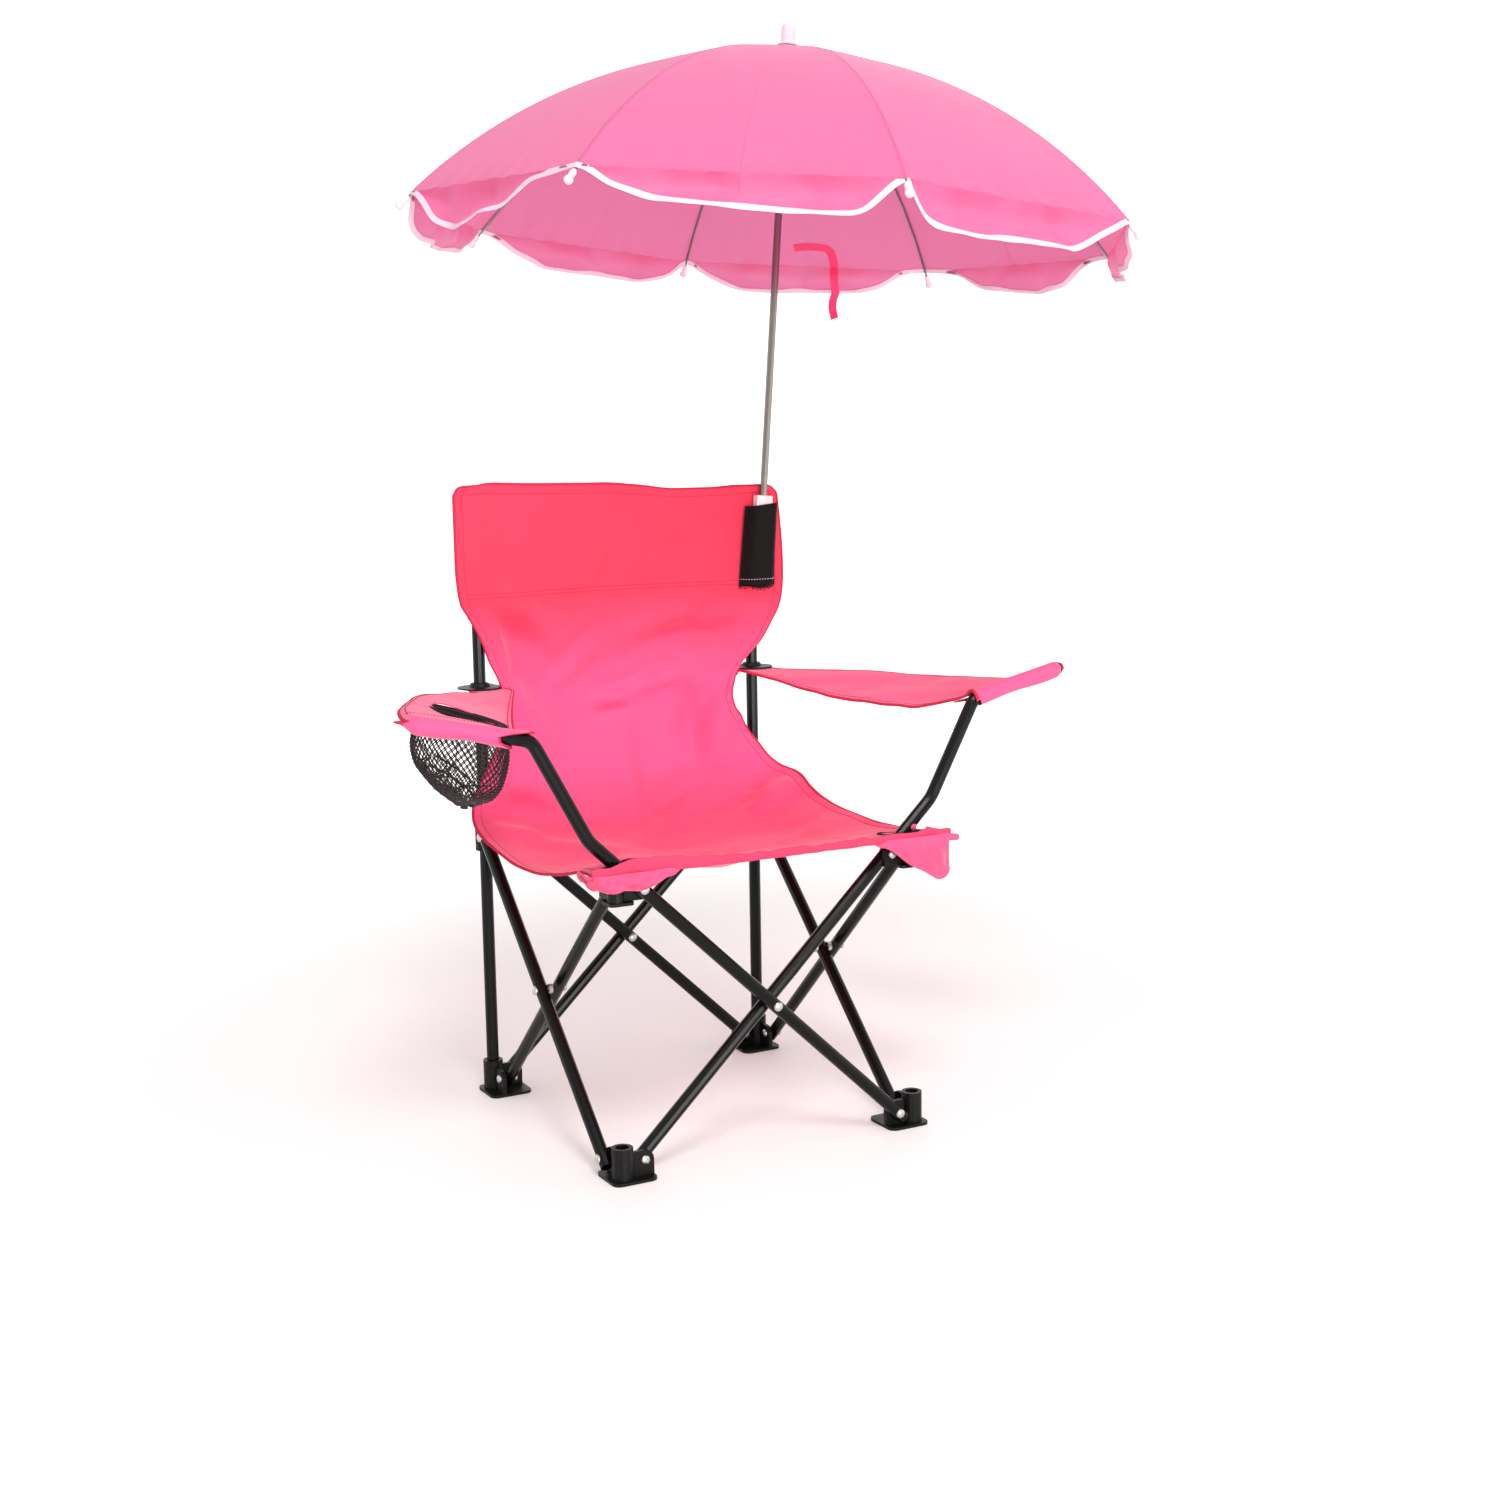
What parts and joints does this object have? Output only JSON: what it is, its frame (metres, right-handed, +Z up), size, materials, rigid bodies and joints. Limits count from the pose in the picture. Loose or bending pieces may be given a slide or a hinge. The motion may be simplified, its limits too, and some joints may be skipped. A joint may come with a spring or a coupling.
{
  "type": "folding camp chair with umbrella",
  "caption": "Child-size folding camp chair with a cloth seat, back and arms on crossed black tubes, a net cup holder, and a pink umbrella standing in a pocket on its back.",
  "frame": {"origin": "middle of the underside of the whole object's bounding box, on the floor", "axes": "+X to the viewer's right of the chair, +Y towards its back, +Z up; the chair faces -Y"},
  "size_m": [0.9528, 0.8042, 1.1367],
  "materials": {
    "black_paint": "gloss black enamel on steel tube",
    "black_plastic": "moulded black plastic",
    "zinc": "zinc-plated steel",
    "chrome": "bright plated steel",
    "chair_cloth": "woven polyester, hot pink",
    "canopy_cloth": "thin woven polyester, pink",
    "strap_cloth": "woven polyester, red-pink",
    "black_webbing": "woven black webbing",
    "black_net": "knotted black netting",
    "white_plastic": "white moulded plastic"
  },
  "bodies": {
    "base": {"foot_rear_right": "black_plastic", "rear_post_right": "black_paint", "arm_collar_right": "black_plastic", "back_panel": "chair_cloth", "umbrella_pocket": "black_webbing"},
    "rear_tube_inner": {"rear_tube_inner": "black_paint", "rivet_rear_cross": "zinc"},
    "rear_tube_outer": {"rear_tube_outer": "black_paint"},
    "hub_rear_left": {"hub_rear_left": "black_plastic"},
    "hub_rear_right": {"hub_rear_right": "black_plastic"},
    "foot_rear_left": {"foot_rear_left": "black_plastic", "rear_post_left": "black_paint", "arm_collar_left": "black_plastic"},
    "right_tube_outer": {"right_tube_outer": "black_paint", "rivet_right_cross": "zinc"},
    "right_tube_inner": {"right_tube_inner": "black_paint"},
    "hub_front_right": {"hub_front_right": "black_plastic"},
    "foot_front_right": {"foot_front_right": "black_plastic"},
    "arm_tube_left": {"front_tube_to_left_arm": "black_paint", "rivet_front_cross": "zinc"},
    "arm_tube_right": {"front_tube_to_right_arm": "black_paint"},
    "hub_front_left": {"hub_front_left": "black_plastic"},
    "foot_front_left": {"foot_front_left": "black_plastic"},
    "left_tube_inner": {"left_tube_inner": "black_paint", "rivet_left_cross": "zinc"},
    "left_tube_outer": {"left_tube_outer": "black_paint"},
    "seat_rear": {"seat_panel": "chair_cloth"},
    "seat_front": {"seat_front_hem": "chair_cloth"},
    "armrest_right": {"armrest_right": "chair_cloth"},
    "armrest_left": {"armrest_left": "chair_cloth"},
    "cup_net": {"cup_net": "black_net"},
    "umbrella": {"umbrella_handle": "white_plastic", "umbrella_shaft": "chrome", "rib_crown": "white_plastic", "ferrule": "white_plastic", "canopy": "canopy_cloth", "tie_strap": "strap_cloth"},
    "runner": {"runner": "white_plastic"},
    "rib_1": {"rib_1": "chrome"},
    "stretcher_1": {"stretcher_1": "chrome"},
    "rib_2": {"rib_2": "chrome"},
    "stretcher_2": {"stretcher_2": "chrome"},
    "rib_3": {"rib_3": "chrome"},
    "stretcher_3": {"stretcher_3": "chrome"},
    "rib_4": {"rib_4": "chrome"},
    "stretcher_4": {"stretcher_4": "chrome"},
    "rib_5": {"rib_5": "chrome"},
    "stretcher_5": {"stretcher_5": "chrome"},
    "rib_6": {"rib_6": "chrome"},
    "stretcher_6": {"stretcher_6": "chrome"},
    "rib_7": {"rib_7": "chrome"},
    "stretcher_7": {"stretcher_7": "chrome"},
    "rib_8": {"rib_8": "chrome"},
    "stretcher_8": {"stretcher_8": "chrome"}
  },
  "joints": [
    {"name": "chair_fold", "type": "hinge", "parent": "base", "child": "rear_tube_inner", "pos_m": [0.0215, 0.00735, 0.018], "axis": [0, 1, 0], "range_deg": [0, 36], "deforming": ["back_panel", "seat_panel", "seat_front_hem", "armrest_left", "armrest_right", "cup_net"]},
    {"name": "rear_cross", "type": "hinge", "parent": "rear_tube_inner", "child": "rear_tube_outer", "pos_m": [-0.1187, 0.00735, 0.1507], "axis": [0, 1, 0], "range_deg": [-72, 0]},
    {"name": "rear_left_hub_pin", "type": "hinge", "parent": "rear_tube_inner", "child": "hub_rear_left", "pos_m": [-0.2589, 0.00735, 0.2834], "axis": [0, 1, 0], "range_deg": [-36, 0]},
    {"name": "rear_left_foot_pin", "type": "hinge", "parent": "rear_tube_outer", "child": "foot_rear_left", "pos_m": [-0.2589, 0.02515, 0.018], "axis": [0, 1, 0], "range_deg": [0, 36]},
    {"name": "rear_right_hub_pin", "type": "hinge", "parent": "rear_tube_outer", "child": "hub_rear_right", "pos_m": [0.0215, 0.02515, 0.2834], "axis": [0, 1, 0], "range_deg": [0, 36]},
    {"name": "rear_right_foot_pin", "type": "hinge", "parent": "base", "child": "right_tube_outer", "pos_m": [0.0534, -0.00675, 0.018], "axis": [-1, 0, 0], "range_deg": [0, 36]},
    {"name": "right_cross", "type": "hinge", "parent": "right_tube_outer", "child": "right_tube_inner", "pos_m": [0.0534, -0.14695, 0.1507], "axis": [-1, 0, 0], "range_deg": [-72, 0]},
    {"name": "front_right_hub_pin", "type": "hinge", "parent": "right_tube_outer", "child": "hub_front_right", "pos_m": [0.0534, -0.28715, 0.2834], "axis": [-1, 0, 0], "range_deg": [-36, 0]},
    {"name": "front_right_foot_pin", "type": "hinge", "parent": "right_tube_inner", "child": "foot_front_right", "pos_m": [0.0356, -0.28715, 0.018], "axis": [-1, 0, 0], "range_deg": [0, 36]},
    {"name": "left_arm_foot_pin", "type": "hinge", "parent": "foot_front_right", "child": "arm_tube_left", "pos_m": [0.0215, -0.31905, 0.018], "axis": [0, 1, 0], "range_deg": [0, 36]},
    {"name": "front_cross", "type": "hinge", "parent": "arm_tube_left", "child": "arm_tube_right", "pos_m": [-0.1187, -0.31905, 0.1507], "axis": [0, 1, 0], "range_deg": [-72, 0]},
    {"name": "front_left_hub_pin", "type": "hinge", "parent": "arm_tube_left", "child": "hub_front_left", "pos_m": [-0.2589, -0.31905, 0.2834], "axis": [0, 1, 0], "range_deg": [-36, 0]},
    {"name": "right_arm_foot_pin", "type": "hinge", "parent": "arm_tube_right", "child": "foot_front_left", "pos_m": [-0.2589, -0.30125, 0.018], "axis": [0, 1, 0], "range_deg": [0, 36]},
    {"name": "left_inner_foot_pin", "type": "hinge", "parent": "foot_rear_left", "child": "left_tube_inner", "pos_m": [-0.273, -0.00675, 0.018], "axis": [-1, 0, 0], "range_deg": [0, 36]},
    {"name": "left_cross", "type": "hinge", "parent": "left_tube_inner", "child": "left_tube_outer", "pos_m": [-0.273, -0.14695, 0.1507], "axis": [-1, 0, 0], "range_deg": [-72, 0]},
    {"name": "seat_rear_fold", "type": "hinge", "parent": "hub_rear_right", "child": "seat_rear", "pos_m": [0.0445, -0.00095, 0.2985], "axis": [1, 0, 0], "range_deg": [0, 69.2]},
    {"name": "seat_front_fold", "type": "hinge", "parent": "hub_front_right", "child": "seat_front", "pos_m": [0.0445, -0.31015, 0.2985], "axis": [-1, 0, 0], "range_deg": [0, 69.2]},
    {"name": "right_arm_cloth", "type": "hinge", "parent": "arm_tube_right", "child": "armrest_right", "pos_m": [0.13817, -0.30125, 0.43385], "axis": [0.977, 0, 0.213], "range_deg": [-55.13, 0]},
    {"name": "left_arm_cloth", "type": "hinge", "parent": "arm_tube_left", "child": "armrest_left", "pos_m": [-0.37557, -0.31905, 0.43385], "axis": [-0.977, 0, 0.213], "range_deg": [0, 50.07]},
    {"name": "cup_net_sway", "type": "hinge", "parent": "armrest_left", "child": "cup_net", "pos_m": [-0.38239, -0.23821, 0.3752], "axis": [-0.977, 0, 0.213], "range_deg": [-50.07, 0]},
    {"name": "umbrella_lift", "type": "slide", "parent": "base", "child": "umbrella", "axis": [0.0785, 0, 0.9969], "range_m": [0, 0.12]},
    {"name": "umbrella_close", "type": "slide", "parent": "umbrella", "child": "runner", "axis": [-0.0785, 0, -0.9969], "range_m": [0, 0.2661], "deforming": ["canopy", "tie_strap"]},
    {"name": "rib_1_fold", "type": "hinge", "parent": "umbrella", "child": "rib_1", "pos_m": [0.08348, 0.00157, 1.10388], "axis": [-0.2158, -0.9763, 0.017], "range_deg": [0, 62.55]},
    {"name": "stretcher_1_fold", "type": "hinge", "parent": "rib_1", "child": "stretcher_1", "pos_m": [-0.09027, 0.03949, 1.07591], "axis": [-0.2158, -0.9763, 0.017], "range_deg": [-125.1, 0]},
    {"name": "rib_2_fold", "type": "hinge", "parent": "umbrella", "child": "rib_2", "pos_m": [0.08447, -0.00408, 1.1038], "axis": [0.5356, -0.8434, -0.0422], "range_deg": [0, 62.55]},
    {"name": "stretcher_2_fold", "type": "hinge", "parent": "rib_2", "child": "stretcher_2", "pos_m": [-0.06607, -0.0982, 1.07401], "axis": [0.5356, -0.8434, -0.0422], "range_deg": [-125.1, 0]},
    {"name": "rib_3_fold", "type": "hinge", "parent": "umbrella", "child": "rib_3", "pos_m": [0.08916, -0.00737, 1.10343], "axis": [0.9733, -0.2164, -0.0766], "range_deg": [0, 62.55]},
    {"name": "stretcher_3_fold", "type": "hinge", "parent": "rib_3", "child": "stretcher_3", "pos_m": [0.0481, -0.17839, 1.06502], "axis": [0.9733, -0.2164, -0.0766], "range_deg": [-125.1, 0]},
    {"name": "rib_4_fold", "type": "hinge", "parent": "umbrella", "child": "rib_4", "pos_m": [0.09479, -0.00638, 1.10299], "axis": [0.8408, 0.5373, -0.0662], "range_deg": [0, 62.55]},
    {"name": "stretcher_4_fold", "type": "hinge", "parent": "rib_4", "child": "stretcher_4", "pos_m": [0.18536, -0.15411, 1.05422], "axis": [0.8408, 0.5373, -0.0662], "range_deg": [-125.1, 0]},
    {"name": "rib_5_fold", "type": "hinge", "parent": "umbrella", "child": "rib_5", "pos_m": [0.09807, -0.00167, 1.10273], "axis": [0.2158, 0.9763, -0.017], "range_deg": [0, 62.55]},
    {"name": "stretcher_5_fold", "type": "hinge", "parent": "rib_5", "child": "stretcher_5", "pos_m": [0.26531, -0.03959, 1.04793], "axis": [0.2158, 0.9763, -0.017], "range_deg": [-125.1, 0]},
    {"name": "rib_6_fold", "type": "hinge", "parent": "umbrella", "child": "rib_6", "pos_m": [0.09708, 0.00398, 1.10281], "axis": [-0.5356, 0.8434, 0.0422], "range_deg": [0, 62.55]},
    {"name": "stretcher_6_fold", "type": "hinge", "parent": "rib_6", "child": "stretcher_6", "pos_m": [0.2411, 0.0981, 1.04983], "axis": [-0.5356, 0.8434, 0.0422], "range_deg": [-125.1, 0]},
    {"name": "rib_7_fold", "type": "hinge", "parent": "umbrella", "child": "rib_7", "pos_m": [0.09239, 0.00727, 1.10318], "axis": [-0.9733, 0.2164, 0.0766], "range_deg": [0, 62.55]},
    {"name": "stretcher_7_fold", "type": "hinge", "parent": "rib_7", "child": "stretcher_7", "pos_m": [0.12693, 0.17829, 1.05882], "axis": [-0.9733, 0.2164, 0.0766], "range_deg": [-125.1, 0]},
    {"name": "rib_8_fold", "type": "hinge", "parent": "umbrella", "child": "rib_8", "pos_m": [0.08676, 0.00627, 1.10362], "axis": [-0.8408, -0.5373, 0.0662], "range_deg": [0, 62.55]},
    {"name": "stretcher_8_fold", "type": "hinge", "parent": "rib_8", "child": "stretcher_8", "pos_m": [-0.01033, 0.15401, 1.06962], "axis": [-0.8408, -0.5373, 0.0662], "range_deg": [-125.1, 0]}
  ],
  "couplings": [
    {"joint": "rear_cross", "follows": "chair_fold", "ratio": -2},
    {"joint": "rear_left_hub_pin", "follows": "chair_fold", "ratio": -1},
    {"joint": "rear_left_foot_pin", "follows": "chair_fold", "ratio": 1},
    {"joint": "rear_right_hub_pin", "follows": "chair_fold", "ratio": 1},
    {"joint": "rear_right_foot_pin", "follows": "chair_fold", "ratio": 1},
    {"joint": "right_cross", "follows": "chair_fold", "ratio": -2},
    {"joint": "front_right_hub_pin", "follows": "chair_fold", "ratio": -1},
    {"joint": "front_right_foot_pin", "follows": "chair_fold", "ratio": 1},
    {"joint": "left_arm_foot_pin", "follows": "chair_fold", "ratio": 1},
    {"joint": "front_cross", "follows": "chair_fold", "ratio": -2},
    {"joint": "front_left_hub_pin", "follows": "chair_fold", "ratio": -1},
    {"joint": "right_arm_foot_pin", "follows": "chair_fold", "ratio": 1},
    {"joint": "left_inner_foot_pin", "follows": "chair_fold", "ratio": 1},
    {"joint": "left_cross", "follows": "chair_fold", "ratio": -2},
    {"joint": "seat_rear_fold", "follows": "chair_fold", "ratio": 1.9222},
    {"joint": "seat_front_fold", "follows": "chair_fold", "ratio": 1.9222},
    {"joint": "right_arm_cloth", "follows": "chair_fold", "ratio": -1.5314},
    {"joint": "left_arm_cloth", "follows": "chair_fold", "ratio": 1.3908},
    {"joint": "cup_net_sway", "follows": "chair_fold", "ratio": -1.3908},
    {"joint": "rib_1_fold", "follows": "umbrella_close", "rad_per_m": 4.0993},
    {"joint": "stretcher_1_fold", "follows": "umbrella_close", "rad_per_m": -8.1987},
    {"joint": "rib_2_fold", "follows": "umbrella_close", "rad_per_m": 4.0993},
    {"joint": "stretcher_2_fold", "follows": "umbrella_close", "rad_per_m": -8.1987},
    {"joint": "rib_3_fold", "follows": "umbrella_close", "rad_per_m": 4.0993},
    {"joint": "stretcher_3_fold", "follows": "umbrella_close", "rad_per_m": -8.1987},
    {"joint": "rib_4_fold", "follows": "umbrella_close", "rad_per_m": 4.0993},
    {"joint": "stretcher_4_fold", "follows": "umbrella_close", "rad_per_m": -8.1987},
    {"joint": "rib_5_fold", "follows": "umbrella_close", "rad_per_m": 4.0993},
    {"joint": "stretcher_5_fold", "follows": "umbrella_close", "rad_per_m": -8.1987},
    {"joint": "rib_6_fold", "follows": "umbrella_close", "rad_per_m": 4.0993},
    {"joint": "stretcher_6_fold", "follows": "umbrella_close", "rad_per_m": -8.1987},
    {"joint": "rib_7_fold", "follows": "umbrella_close", "rad_per_m": 4.0993},
    {"joint": "stretcher_7_fold", "follows": "umbrella_close", "rad_per_m": -8.1987},
    {"joint": "rib_8_fold", "follows": "umbrella_close", "rad_per_m": 4.0993},
    {"joint": "stretcher_8_fold", "follows": "umbrella_close", "rad_per_m": -8.1987}
  ]
}
